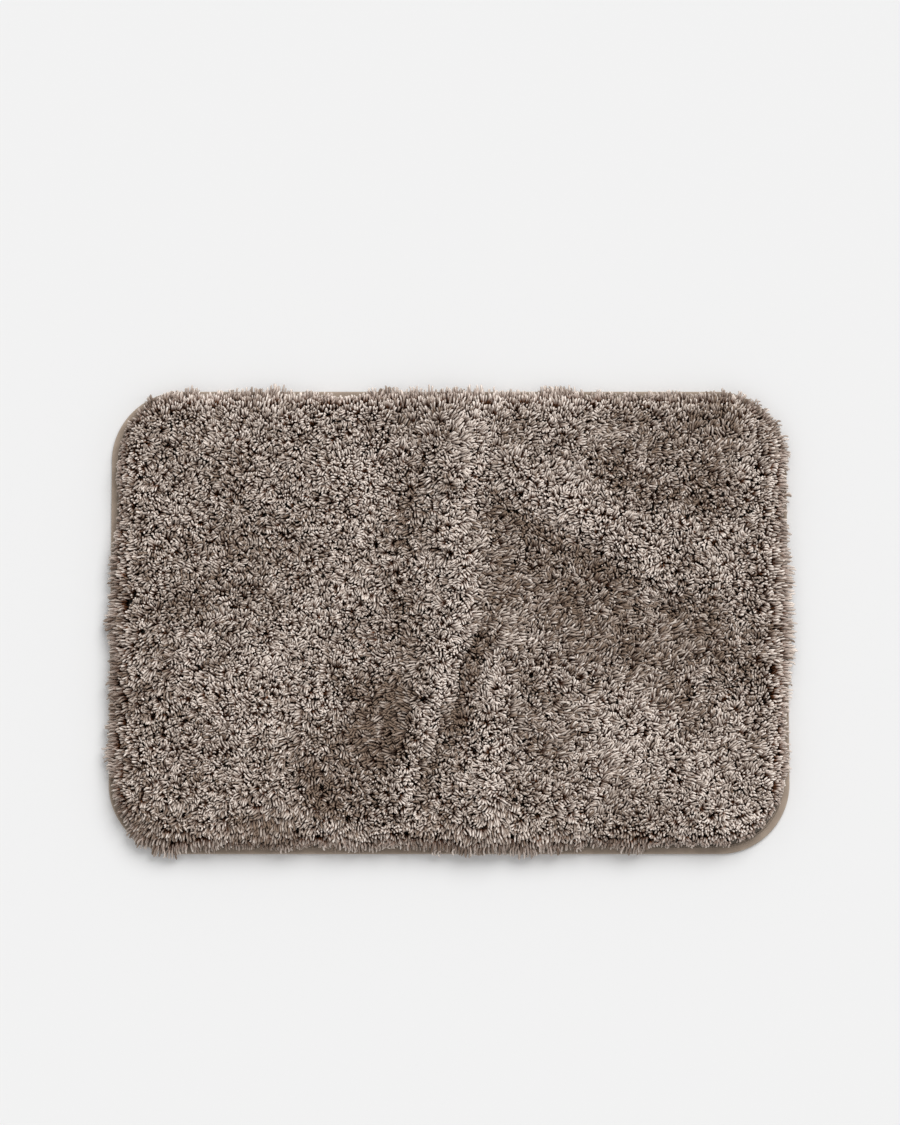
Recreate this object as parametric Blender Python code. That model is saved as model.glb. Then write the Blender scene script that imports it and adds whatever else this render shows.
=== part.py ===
"""A tufted bath mat with a bound edge, one solid for each piece.

Units are metres and +Z is up. The origin is the middle of the underside, on the floor.
X runs along the mat's length and Y across its width.

From the floor up: a non-slip rubber coat, the cloth that the pile is tufted into, and the
pile itself, in bands of tuft rows that run across the mat. A tape is folded round the
cloth's edge and held by one line of lockstitch: a needle thread above it and a bobbin
thread below it.
"""

import math

import bmesh
import bpy

# The mat over its binding tape.
MAT_LENGTH = 0.752
MAT_WIDTH = 0.515
CORNER_RADIUS = 0.078

# The flat layers.
RUBBER_THICKNESS = 0.0018
RUBBER_TO_TAPE = 0.0010
CLOTH_THICKNESS = 0.0014

# The binding: a tape folded in half round the cloth's edge, and its stitching.
TAPE_THICKNESS = 0.0008
TAPE_LEG = 0.0095
STITCH_TO_LEG_EDGE = 0.0022
THREAD_DIAMETER = 0.0005

# The pile, measured from the cloth's upper face.
PILE_DEPTH = 0.0240
PILE_TO_TAPE = 0.0010
PILE_FLARE = 0.0070
PILE_SHOULDER = 0.0120
PILE_BANDS = 24
BAND_GAP = 0.0004

# Creases that the mat keeps from being folded: the line of each, how far the pile stands
# up along it, and how far it reaches to each side.
CREASES = (
    (((-0.010, 0.250), (0.001, 0.113), (0.014, 0.066), (0.006, 0.000),
      (-0.021, -0.064), (-0.038, -0.120), (-0.058, -0.186)), 0.0085, 0.034),
    (((0.058, 0.000), (0.058, -0.086), (0.050, -0.153), (0.034, -0.250)), 0.0050, 0.026),
    (((0.075, 0.170), (0.165, 0.113), (0.248, 0.044)), 0.0060, 0.034),
)

# Room between pieces that touch on the real mat.
TOUCH_GAP = 0.0003

# How finely the round shapes are cut.
CORNER_STEPS = 9
FOLD_STEPS = 8
TOP_STEPS = 14
BAND_STEPS = 2
CORNER_BAND_STEPS = 5

HALF_LENGTH = MAT_LENGTH / 2
HALF_WIDTH = MAT_WIDTH / 2

# Heights of the layers, from the floor up.
CLOTH_BOTTOM = RUBBER_THICKNESS + TOUCH_GAP
CLOTH_TOP = CLOTH_BOTTOM + CLOTH_THICKNESS
PILE_ROOT = CLOTH_TOP + TOUCH_GAP

# The tape's fold is a half ring round the cloth's edge.
FOLD_INNER_RADIUS = CLOTH_THICKNESS / 2 + TOUCH_GAP
FOLD_OUTER_RADIUS = FOLD_INNER_RADIUS + TAPE_THICKNESS
FOLD_HEIGHT = CLOTH_BOTTOM + CLOTH_THICKNESS / 2
CLOTH_INSET = FOLD_OUTER_RADIUS
STITCH_INSET = TAPE_LEG - STITCH_TO_LEG_EDGE
NEEDLE_THREAD_HEIGHT = FOLD_HEIGHT + FOLD_OUTER_RADIUS + TOUCH_GAP + THREAD_DIAMETER / 2
BOBBIN_THREAD_HEIGHT = FOLD_HEIGHT - FOLD_OUTER_RADIUS - TOUCH_GAP - THREAD_DIAMETER / 2

# The pile's roots stop short of the tape, and its sides lean out over the tape and the
# thread on it. Each level is how far inside the mat's outline it lies, and its height.
PILE_OVER_STITCHES = NEEDLE_THREAD_HEIGHT + THREAD_DIAMETER / 2 + TOUCH_GAP
PILE_TOP = CLOTH_TOP + PILE_DEPTH
PILE_LEVELS = (
    (TAPE_LEG + PILE_TO_TAPE, PILE_ROOT),
    (TAPE_LEG + PILE_TO_TAPE, PILE_OVER_STITCHES),
    (0.0, PILE_OVER_STITCHES + PILE_FLARE),
    (0.0, PILE_TOP - PILE_SHOULDER),
    (PILE_SHOULDER * (1 - math.sqrt(0.5)), PILE_TOP - PILE_SHOULDER * (1 - math.sqrt(0.5))),
    (PILE_SHOULDER, PILE_TOP),
)


def clear_scene():
    for old in list(bpy.data.objects):
        bpy.data.objects.remove(old, do_unlink=True)


def new_collection(name):
    collection = bpy.data.collections.new(name)
    bpy.context.scene.collection.children.link(collection)
    return collection


def new_material(name, colour, roughness):
    material = bpy.data.materials.new(name)
    material.use_nodes = True
    shader = material.node_tree.nodes["Principled BSDF"]
    shader.inputs["Base Color"].default_value = (*colour, 1.0)
    shader.inputs["Roughness"].default_value = roughness
    shader.inputs["Metallic"].default_value = 0.0
    return material


def add_object(name, data, collection, material):
    data.materials.append(material)
    made = bpy.data.objects.new(name, data)
    collection.objects.link(made)
    return made


# ---- outlines ----


def outline_points(inset):
    """The mat's rounded outline, moved in by inset, anticlockwise from the right side."""
    radius = CORNER_RADIUS - inset
    points = []
    for quarter, (side_x, side_y) in enumerate(((1, 1), (-1, 1), (-1, -1), (1, -1))):
        centre_x = side_x * (HALF_LENGTH - CORNER_RADIUS)
        centre_y = side_y * (HALF_WIDTH - CORNER_RADIUS)
        for step in range(CORNER_STEPS + 1):
            angle = math.radians(90) * (quarter + step / CORNER_STEPS)
            points.append((centre_x + radius * math.cos(angle), centre_y + radius * math.sin(angle)))
    return points


def half_width(x, inset):
    """Half of the mat's width at x, between the two sides of the outline moved in by inset."""
    past_straight = abs(x) - (HALF_LENGTH - CORNER_RADIUS)
    if past_straight <= 0:
        return HALF_WIDTH - inset
    radius = CORNER_RADIUS - inset
    reach = math.sqrt(max(radius**2 - past_straight**2, 0.0))
    return HALF_WIDTH - CORNER_RADIUS + reach


def closed_curve(name, points):
    """A flat closed curve of straight stretches through these points."""
    curve = bpy.data.curves.new(name, "CURVE")
    curve.dimensions = "2D"
    spline = curve.splines.new("POLY")
    spline.points.add(len(points) - 1)
    for place, (x, y) in zip(spline.points, points):
        place.co = (x, y, 0.0, 1.0)
    spline.use_cyclic_u = True
    return curve


# ---- flat layers and binding ----


def add_flat_layer(name, inset, bottom, thickness, collection, material):
    """A sheet with the mat's outline, moved in by inset."""
    curve = closed_curve(name, outline_points(inset))
    curve.fill_mode = "BOTH"
    curve.extrude = thickness / 2
    layer = add_object(name, curve, collection, material)
    layer.location.z = bottom + thickness / 2
    return layer


def tape_profile():
    """The folded tape in section: the fold's half ring on the left, its two legs to the right."""
    outer = []
    inner = []
    for step in range(FOLD_STEPS + 1):
        angle = math.radians(90 + 180 * step / FOLD_STEPS)
        outer.append((FOLD_OUTER_RADIUS * math.cos(angle), FOLD_OUTER_RADIUS * math.sin(angle)))
        inner.append((FOLD_INNER_RADIUS * math.cos(angle), FOLD_INNER_RADIUS * math.sin(angle)))
    leg_end = TAPE_LEG - FOLD_OUTER_RADIUS
    upper_leg_end = [(leg_end, FOLD_OUTER_RADIUS), (leg_end, FOLD_INNER_RADIUS)]
    lower_leg_end = [(leg_end, -FOLD_INNER_RADIUS), (leg_end, -FOLD_OUTER_RADIUS)]
    return upper_leg_end + inner + lower_leg_end + outer[::-1]


def add_binding_tape(name, collection, guides, material):
    """The folded tape, swept once round the mat along the middle of its fold."""
    profile = bpy.data.objects.new("tape_profile", closed_curve("tape_profile", tape_profile()))
    profile.hide_render = True
    profile.display_type = "WIRE"
    guides.objects.link(profile)
    curve = closed_curve(name, outline_points(FOLD_OUTER_RADIUS))
    curve.bevel_mode = "OBJECT"
    curve.bevel_object = profile
    tape = add_object(name, curve, collection, material)
    tape.location.z = FOLD_HEIGHT
    return tape


def add_thread(name, height, collection, material):
    """One thread of the seam, lying on the tape all round the mat."""
    curve = closed_curve(name, outline_points(STITCH_INSET))
    curve.dimensions = "3D"
    curve.fill_mode = "FULL"
    curve.bevel_depth = THREAD_DIAMETER / 2
    curve.bevel_resolution = 1
    thread = add_object(name, curve, collection, material)
    thread.location.z = height
    return thread


# ---- pile ----


def distance_to_line(x, y, line):
    """The distance from (x, y) to the nearest point of a line of straight stretches."""
    nearest = math.inf
    for (start_x, start_y), (end_x, end_y) in zip(line, line[1:]):
        run_x, run_y = end_x - start_x, end_y - start_y
        share = ((x - start_x) * run_x + (y - start_y) * run_y) / (run_x**2 + run_y**2)
        share = min(max(share, 0.0), 1.0)
        nearest = min(nearest, math.hypot(x - start_x - share * run_x, y - start_y - share * run_y))
    return nearest


def crease_rise(x, y):
    """How far the creases lift the top of the pile at (x, y)."""
    rise = 0.0
    for line, height, reach in CREASES:
        share = min(distance_to_line(x, y, line) / reach, 1.0)
        rise = max(rise, height * (1 - share**2) ** 2)
    return rise


def pile_section(left_end, right_end, share):
    """One section across the mat: the points of each level, back to front, then the top.

    left_end and right_end hold the X of every level at the band's two ends, and share
    says how far the section is from the first to the second.
    """
    rows = []
    for (inset, height), left, right in zip(PILE_LEVELS, left_end, right_end):
        x = left + share * (right - left)
        reach = half_width(x, inset)
        rows.append([(x, -reach, height), (x, reach, height)])
    x, reach = rows[-1][1][:2]
    top = []
    for step in range(TOP_STEPS + 1):
        y = reach * (2 * step / TOP_STEPS - 1)
        top.append((x, y, PILE_TOP + crease_rise(x, y)))
    rows[-1] = top
    return rows


def band_shares(in_corner, open_side):
    """Where a band's sections lie between its ends, closer together towards a round end."""
    steps = CORNER_BAND_STEPS if in_corner else BAND_STEPS
    shares = [step / steps for step in range(steps + 1)]
    if open_side > 0:
        return [math.sin(math.radians(90) * share) for share in shares]
    if open_side < 0:
        return [1 - math.cos(math.radians(90) * share) for share in shares]
    return shares


def add_pile_band(index, collection, material):
    """One band of tuft rows, as the closed shape that its tufts fill together."""
    pitch = MAT_LENGTH / PILE_BANDS
    left = -HALF_LENGTH + index * pitch + BAND_GAP / 2
    right = left + pitch - BAND_GAP
    left_end = [left] * len(PILE_LEVELS)
    right_end = [right] * len(PILE_LEVELS)
    open_side = 0
    if index == 0:
        left_end = [-HALF_LENGTH + inset for inset, _ in PILE_LEVELS]
        open_side = -1
    if index == PILE_BANDS - 1:
        right_end = [HALF_LENGTH - inset for inset, _ in PILE_LEVELS]
        open_side = 1
    in_corner = max(abs(left), abs(right)) > HALF_LENGTH - CORNER_RADIUS

    form = bmesh.new()
    sections = []
    for share in band_shares(in_corner, open_side):
        rows = pile_section(left_end, right_end, share)
        sections.append([[form.verts.new(point) for point in row] for row in rows])
    for near, far in zip(sections, sections[1:]):
        form.faces.new((near[0][0], near[0][1], far[0][1], far[0][0]))
        for low, high in zip(range(len(near)), range(1, len(near))):
            form.faces.new((near[low][0], far[low][0], far[high][0], near[high][0]))
            form.faces.new((near[low][-1], near[high][-1], far[high][-1], far[low][-1]))
        for back in range(TOP_STEPS):
            form.faces.new((near[-1][back], far[-1][back], far[-1][back + 1], near[-1][back + 1]))
    for section in (sections[0], sections[-1]):
        for low, high in zip(section, section[1:]):
            form.faces.new((low[0], *high, low[-1]))
    bmesh.ops.recalc_face_normals(form, faces=form.faces)

    name = f"pile_band_{index + 1:02d}"
    mesh = bpy.data.meshes.new(name)
    form.to_mesh(mesh)
    form.free()
    mesh.shade_smooth()
    mesh.set_sharp_from_angle(angle=math.radians(40))
    return add_object(name, mesh, collection, material)


def main():
    clear_scene()
    mat = new_collection("bath_mat")
    guides = new_collection("guides")

    rubber = new_material("non_slip_rubber", (0.42, 0.38, 0.34), 0.75)
    cloth = new_material("woven_cloth", (0.33, 0.28, 0.24), 0.95)
    tape = new_material("woven_tape", (0.17, 0.13, 0.11), 0.85)
    thread = new_material("sewing_thread", (0.15, 0.12, 0.10), 0.60)
    pile = new_material("pile_yarn", (0.33, 0.27, 0.23), 0.90)

    rubber_inset = TAPE_LEG + RUBBER_TO_TAPE
    add_flat_layer("rubber_backing", rubber_inset, 0.0, RUBBER_THICKNESS, mat, rubber)
    add_flat_layer("backing_cloth", CLOTH_INSET, CLOTH_BOTTOM, CLOTH_THICKNESS, mat, cloth)
    add_binding_tape("binding_tape", mat, guides, tape)
    add_thread("binding_needle_thread", NEEDLE_THREAD_HEIGHT, mat, thread)
    add_thread("binding_bobbin_thread", BOBBIN_THREAD_HEIGHT, mat, thread)
    for index in range(PILE_BANDS):
        add_pile_band(index, mat, pile)


main()
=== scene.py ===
"""The looks of the tufted bath mat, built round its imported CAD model.

The pile is real geometry: each tuft is a fan of yarn strands whose crown bends over, and
each strand is a closed tapered tube. The binding, the backing cloth, the rubber coat with
its grip dots and every stitch are meshes too. Metres, +Z up, in the CAD's frame.
"""

import math

import bpy
import numpy as np
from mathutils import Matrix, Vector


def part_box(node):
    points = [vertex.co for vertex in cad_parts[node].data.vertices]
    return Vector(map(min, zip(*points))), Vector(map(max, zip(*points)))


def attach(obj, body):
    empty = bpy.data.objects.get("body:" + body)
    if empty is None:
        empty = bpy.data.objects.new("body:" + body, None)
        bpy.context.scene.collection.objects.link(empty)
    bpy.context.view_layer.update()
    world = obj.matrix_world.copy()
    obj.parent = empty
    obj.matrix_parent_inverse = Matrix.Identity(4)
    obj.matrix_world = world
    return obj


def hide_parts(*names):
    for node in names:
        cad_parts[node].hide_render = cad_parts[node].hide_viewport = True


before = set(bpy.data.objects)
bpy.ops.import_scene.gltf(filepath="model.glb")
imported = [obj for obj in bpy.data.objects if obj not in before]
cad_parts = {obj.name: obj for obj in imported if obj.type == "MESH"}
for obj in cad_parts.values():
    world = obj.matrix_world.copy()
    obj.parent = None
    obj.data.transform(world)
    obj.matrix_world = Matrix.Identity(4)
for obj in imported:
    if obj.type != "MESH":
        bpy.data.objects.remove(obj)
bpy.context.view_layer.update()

SEED = 11
FULL_TURN = 2 * math.pi
TINY = 1e-9

# ---- sizes that the CAD fixes ----

TAPE_LOW, TAPE_HIGH = (np.array(corner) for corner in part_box("binding_tape"))
CLOTH_LOW, CLOTH_HIGH = (np.array(corner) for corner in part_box("backing_cloth"))
RUBBER_LOW, RUBBER_HIGH = (np.array(corner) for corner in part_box("rubber_backing"))
NEEDLE_LOW, NEEDLE_HIGH = (np.array(corner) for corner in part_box("binding_needle_thread"))
BOBBIN_LOW, BOBBIN_HIGH = (np.array(corner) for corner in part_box("binding_bobbin_thread"))
HALF_LENGTH = TAPE_HIGH[0]
HALF_WIDTH = TAPE_HIGH[1]
CORNER_RADIUS = 0.078
BANDS = sorted(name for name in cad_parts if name.startswith("pile_band_"))
ROOT_HEIGHT = CLOTH_HIGH[2]
# The fifth band lies clear of the creases, so its top is the pile's plain height.
PILE_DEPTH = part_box("pile_band_05")[1][2] - ROOT_HEIGHT

# ---- where the tufts stand ----

TUFT_PITCH = 0.0056
TUFT_JITTER = 0.30
ROOT_INSET = 0.0112

# ---- how the tufts lean ----

CROWN_REACH = 0.0058
CROWN_REACH_SPREAD = 0.0015
LEAST_CROWN_REACH = 0.0015
# On the creases' sides the tufts lean downhill. The slope is read this far to each side.
DOWNHILL_LEAN = 0.014
SLOPE_STEP = 0.004
# Leans that neighbouring tufts share: over what distance, and how strong.
LEAN_DRIFTS = ((0.014, 0.0016), (0.040, 0.0026), (0.100, 0.0016))

# ---- the fringe: the tufts near the edge, which splay out over the tape ----

FRINGE_WIDTH = 0.015
FRINGE_BEND = 1.8
FRINGE_REACH = 0.0140
FRINGE_REACH_DRIFT = (0.045, 0.0030)
# How much further the far side's fringe reaches, and how much less far the near side's.
FAR_SIDE_REACH = 0.0014
# The share of the edge's tufts with a second tuft beside them, and how far in that goes.
FRINGE_FILL = 0.5
FILL_WIDTH = 1.3 * FRINGE_WIDTH
# How much less the edge's tufts lean each their own way.
RIM_CALM = 0.85
# The outermost rows stand lower, bend from nearer the root, and hang at their tips.
OUTER_ROWS = 0.007
OUTER_SINK = 0.25
OUTER_BEND = 1.3
OUTER_HANG = 0.74
# Light reaches down the outermost rows, so less painted shade goes on their roots: how much
# of the painted root shade is lost, how much the tip dulls, and how much deeper the shade is.
OUTER_PALE = 0.70
OUTER_DULL = 0.06
OUTER_SHADE = 0.05

# ---- the strands of a tuft ----

STRANDS_PER_TUFT = 4
STRAND_RADIUS = 0.00106
STRAND_RADIUS_SPREAD = 0.10
STRAND_SPACING = 0.0030
TIGHTNESS = (0.62, 1.15)
PLACE_SPREAD = 0.16
AHEAD_SPREAD = 0.0005
# The outer strands of a tuft stand back and hang lower, which rounds its lobe.
LOBE_ROUNDING = 0.0020
LOBE_DROP = 0.0018
# A tuft's strands are gathered at the root and reach their full spacing part way up.
ROOT_GATHER = 0.45
GATHERED_UP_TO = 0.7
# The crown bends over late. Inside the mat the strand first leans back a little.
CROWN_BEND = 4.0
BACK_LEAN = 0.45
BACK_LEAN_UP_TO = 0.6
FAN_ANGLE = 0.05
FAN_SPREAD = 0.06
REACH_SPREAD = 0.07
LENGTH_SPREAD = 0.050
DEPTH_SPREAD = 0.055
STRAND_CURL = 0.0005
TUFT_CURL = 0.0006
CURL_WAVES = 1.5
# Leaning costs height, up to a certain reach.
HEIGHT_LOST = 0.8
HEIGHT_LOST_REACH = 0.020
# A strand that leans further rises sooner and is flatter at its crown.
DROOP = 0.10
DROOP_PER_METRE = 10.0
DROOP_REACH = 0.012

# Strands and threads are four-sided tubes, so that one face closes each end.
TUBE_SIDES = 4
# A strand has a ring of points at each of these shares of its length, this wide.
RING_PLACES = np.array((0.0, 0.42, 0.62, 0.76, 0.87, 0.95, 1.0))
RING_WIDTHS = np.array((0.90, 1.0, 1.0, 1.02, 1.05, 1.0, 0.70))

# ---- the pile's shades: its tone, and painted light and shade ----

# The strands' map has one upright strip for each shade, with a margin at its sides.
SHADES = 64
STRIP_MARGIN = 0.1
STRIP_WIDTH = 0.8
# The cut ends' share of a strip's width, and of the map's height.
CUT_END_WIDTH = 0.2
CUT_END_HEIGHT = 0.02
# How strongly the painted light and shade of the lines below tell.
PAINTED_LIGHT_DEPTH = 1.5
TUFT_SHADE_SPREAD = 0.12
STRAND_SHADE_SPREAD = 0.26
# Shades that neighbouring tufts share: over what distance, and how strong.
SHADE_DRIFTS = ((0.013, 0.10), (0.030, 0.09))

# ---- creases, painted light and shade, and strokes, as lines over the mat ----

# Creases that the mat keeps from being folded: line, rise of the pile, reach to each side.
CREASES = (
    (((-0.010, 0.250), (0.001, 0.113), (0.014, 0.066), (0.006, 0.000),
      (-0.021, -0.064), (-0.038, -0.120), (-0.058, -0.186)), 0.0085, 0.034),
    (((0.058, 0.000), (0.058, -0.086), (0.050, -0.153), (0.034, -0.250)), 0.0050, 0.026),
    (((0.075, 0.170), (0.165, 0.113), (0.248, 0.044)), 0.0060, 0.034),
)

# Painted light and shade, where the pile is painted paler or deeper: line, half width,
# change of shade.
PAINTED_LIGHT_AND_SHADE = (
    # Painted light on the crests and along the rim.
    (((0.030, 0.235), (0.018, 0.110), (0.018, 0.030), (-0.008, -0.070)), 0.016, 0.22),
    (((-0.008, -0.070), (-0.032, -0.130), (-0.050, -0.190)), 0.011, 0.22),
    (((0.048, -0.050), (0.045, -0.120), (0.050, -0.220)), 0.013, 0.22),
    (((0.075, 0.150), (0.125, 0.140), (0.180, 0.095), (0.240, 0.050)), 0.018, 0.19),
    (((-0.320, 0.246), (0.320, 0.246)), 0.011, 0.20),
    (((0.364, 0.200), (0.364, -0.180)), 0.010, 0.14),
    (((-0.364, 0.200), (-0.364, 0.050)), 0.010, 0.10),
    (((0.358, -0.040), (0.360, -0.195), (0.335, -0.228), (0.285, -0.238)), 0.013, 0.16),
    # Pale patches of painted light.
    (((0.095, 0.215), (0.145, 0.236)), 0.017, 0.15),
    (((-0.155, 0.232), (-0.090, 0.234)), 0.014, 0.15),
    (((0.140, 0.120), (0.105, 0.140)), 0.014, 0.10),
    (((-0.105, 0.160), (-0.095, 0.115)), 0.026, 0.22),
    (((-0.170, -0.010), (-0.200, -0.070), (-0.160, -0.080)), 0.045, 0.11),
    (((0.200, -0.140), (0.300, -0.190)), 0.055, 0.14),
    (((0.250, 0.105), (0.300, 0.085), (0.315, 0.030)), 0.018, 0.13),
    (((-0.140, 0.040), (-0.120, 0.020)), 0.030, 0.08),
    (((0.335, 0.170), (0.345, 0.080)), 0.020, 0.12),
    (((-0.200, 0.190), (-0.120, 0.190)), 0.030, 0.09),
    (((0.075, 0.180), (0.080, 0.165)), 0.012, 0.14),
    # Painted shade on the flanks beside the creases.
    (((-0.045, 0.135), (-0.050, 0.090)), 0.016, -0.24),
    (((-0.050, 0.010), (-0.045, -0.025)), 0.018, -0.24),
    (((0.038, -0.020), (0.022, -0.060), (0.010, -0.110)), 0.012, -0.28),
    (((0.010, -0.110), (-0.018, -0.155), (-0.030, -0.200)), 0.011, -0.24),
    (((0.060, 0.130), (0.105, 0.085), (0.165, 0.062), (0.195, 0.045)), 0.014, -0.26),
    # Deep patches of painted shade.
    (((0.203, -0.054), (0.248, -0.086)), 0.023, -0.24),
    (((0.062, 0.036), (0.040, 0.006)), 0.016, -0.17),
    (((0.270, -0.130), (0.290, -0.140)), 0.016, -0.15),
    (((0.032, 0.106), (0.024, 0.096)), 0.013, -0.14),
    (((-0.350, -0.208), (-0.290, -0.214)), 0.013, -0.12),
    (((-0.060, -0.080), (-0.065, -0.140)), 0.022, -0.36),
    (((-0.100, -0.090), (-0.115, -0.190)), 0.032, -0.28),
    (((-0.155, -0.160), (-0.140, -0.205)), 0.014, -0.24),
    (((-0.225, -0.225), (-0.175, -0.230)), 0.020, -0.28),
    (((0.070, 0.050), (0.150, 0.030)), 0.035, -0.15),
    (((0.130, -0.015), (0.210, -0.010), (0.270, 0.000)), 0.035, -0.21),
    (((0.300, -0.025), (0.325, -0.055)), 0.020, -0.20),
    (((0.250, 0.200), (0.300, 0.230), (0.290, 0.160)), 0.028, -0.21),
    (((0.200, 0.150), (0.280, 0.130)), 0.018, -0.15),
    (((0.160, 0.175), (0.180, 0.170)), 0.014, -0.15),
    (((-0.235, 0.100), (-0.235, 0.085)), 0.018, -0.22),
    (((-0.220, 0.030), (-0.210, 0.028)), 0.014, -0.18),
    (((-0.310, 0.015), (-0.280, 0.010)), 0.016, -0.15),
    (((-0.252, -0.010), (-0.252, -0.028)), 0.012, -0.15),
    (((0.095, -0.138), (0.105, -0.138)), 0.016, -0.18),
    (((0.080, -0.075), (0.110, -0.080)), 0.014, -0.12),
    (((0.200, -0.225), (0.225, -0.210)), 0.018, -0.18),
    (((0.068, 0.215), (0.068, 0.200)), 0.013, -0.14),
    (((-0.122, 0.220), (-0.118, 0.215)), 0.010, -0.14),
)

# Where the whole pile has been stroked one way: line, half width, lean in X and Y.
NAP = (
    (((0.100, 0.000), (0.330, -0.020)), 0.060, 0.0050, 0.0040),
    (((0.120, -0.140), (0.320, -0.150)), 0.055, 0.0045, 0.0025),
    (((-0.320, -0.225), (-0.120, -0.225)), 0.030, -0.0010, -0.0065),
    (((0.000, -0.225), (0.120, -0.225)), 0.035, 0.0010, -0.0065),
    (((-0.045, -0.030), (-0.085, -0.140)), 0.028, -0.0065, -0.0030),
    (((-0.020, 0.205), (0.060, 0.205)), 0.035, 0.0030, 0.0055),
    (((0.150, 0.200), (0.330, 0.200)), 0.045, 0.0045, 0.0020),
    (((-0.310, -0.050), (-0.290, -0.100)), 0.040, -0.0040, -0.0020),
    (((0.045, 0.110), (0.050, 0.000)), 0.024, 0.0050, 0.0030),
)

# Stretches of the edge where the fringe hangs out further, or stands back and shows the
# tape: line, half width, change of reach.
EDGE_STRETCHES = (
    (((-0.374, 0.110), (-0.374, 0.190), (-0.360, 0.228)), 0.020, -0.0090),
    (((-0.130, 0.257), (-0.100, 0.257)), 0.016, -0.0090),
    (((0.220, 0.257), (0.275, 0.257)), 0.018, -0.0085),
    (((-0.265, -0.257), (-0.205, -0.257)), 0.014, -0.0090),
    (((-0.160, -0.257), (-0.038, -0.257)), 0.014, -0.0095),
    (((0.107, -0.257), (0.184, -0.257)), 0.014, -0.0095),
    (((0.230, -0.257), (0.310, -0.257), (0.350, -0.235), (0.372, -0.190)), 0.018, -0.0110),
    (((-0.370, -0.186), (-0.355, -0.220)), 0.012, -0.0060),
    (((-0.345, -0.245), (-0.285, -0.257)), 0.018, 0.0040),
    (((0.030, -0.257), (0.085, -0.257)), 0.018, 0.0025),
    (((0.376, -0.060), (0.376, 0.070)), 0.026, 0.0080),
    (((-0.376, -0.150), (-0.376, 0.020)), 0.026, 0.0030),
)

# ---- the woven and sewn parts ----

# The points of the mat's outline in each rounded corner.
CORNER_POINTS = 60
TAPE_LEG = 0.0095
TAPE_THICKNESS = 0.0008
# The tape's yarns stand out in a check of this pitch, by this much.
TAPE_RIB = 0.0007
TAPE_RELIEF = 0.00007
# The points of the tape's section along each leg and round the fold.
LEG_POINTS = 8
FOLD_POINTS = 7
# The tape's map is laid out in rows, each with a margin above and below.
TAPE_MAP_ROWS = 16
TAPE_MAP_MARGIN = 0.05
TAPE_MAP_HEIGHT = 0.9
TAPE_MAP_WIDTH = 0.98
# The cloth's points stand this far apart, and every other one is sunk by this much.
CLOTH_CELL = 0.0030
CLOTH_RELIEF = 0.00012
# How far a slab's rows close up towards its rounded corners.
ROW_CLOSING = 0.4
RUBBER_CELL = 0.0080
DOT_HEIGHT = 0.0006
DOT_RADIUS = 0.0019
DOT_PITCH = 0.0098
# The grid of dots ends this far inside the rubber, and no dot is nearer its edge than this.
DOT_GRID_INSET = 0.008
DOT_TO_EDGE = 0.005
# A dot is an eight-sided dome: its width and height at each level, from the slab down.
DOT_SIDES = 8
DOT_LEVELS = ((1.0, 1.3), (0.90, 0.45), (0.45, 0.0))
THREAD_RADIUS = 0.00025
STITCH_LENGTH = 0.0032
STITCH_GAP = 0.0005
# A stitch starts and ends this deep in the tape and rises this much between.
STITCH_DIP = 0.0003
STITCH_LIFT = 0.00052
STITCH_ROUNDING = 0.6
# The outline's points to each stitch, and the places and widths of the stitch's rings.
STITCH_STEPS = 40
STITCH_PLACES = np.array((0.0, 0.10, 0.28, 0.50, 0.72, 0.90, 1.0))
STITCH_WIDTHS = np.array((0.7, 1, 1, 1, 1, 1, 0.7))


# ---- fields over the mat ----


def edge_distance(x, y):
    """How far inside the mat's outline each point lies, and the outward direction there."""
    past_x = np.abs(x) - (HALF_LENGTH - CORNER_RADIUS)
    past_y = np.abs(y) - (HALF_WIDTH - CORNER_RADIUS)
    in_corner = (past_x > 0) & (past_y > 0)
    from_corner = np.hypot(past_x, past_y)
    divisor = np.maximum(from_corner, TINY)
    nearer_end = past_x > past_y
    past = np.where(in_corner, from_corner, np.maximum(past_x, past_y))
    out_x = np.where(in_corner, past_x / divisor, nearer_end) * np.sign(x)
    out_y = np.where(in_corner, past_y / divisor, ~nearer_end) * np.sign(y)
    return CORNER_RADIUS - past, out_x, out_y


def line_distance(x, y, line):
    """The distance from each point to a line of straight stretches."""
    nearest = np.full(x.shape, np.inf)
    for (start_x, start_y), (end_x, end_y) in zip(line, line[1:]):
        run_x, run_y = end_x - start_x, end_y - start_y
        share = ((x - start_x) * run_x + (y - start_y) * run_y) / (run_x**2 + run_y**2)
        share = np.clip(share, 0, 1)
        away = np.hypot(x - start_x - share * run_x, y - start_y - share * run_y)
        nearest = np.minimum(nearest, away)
    return nearest


def fading(distance, width):
    """1 at no distance, falling smoothly towards 0 past this width."""
    return np.exp(-((distance / width) ** 2))


def near_line(x, y, line, half_width):
    """1 on the line, fading smoothly to 0 away from it."""
    return fading(line_distance(x, y, line), half_width)


def crease_rise(x, y):
    """How far the creases lift the top of the pile at each point."""
    rise = np.zeros(x.shape)
    for line, height, reach in CREASES:
        share = np.minimum(line_distance(x, y, line) / reach, 1)
        rise = np.maximum(rise, height * (1 - share**2) ** 2)
    return rise


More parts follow.
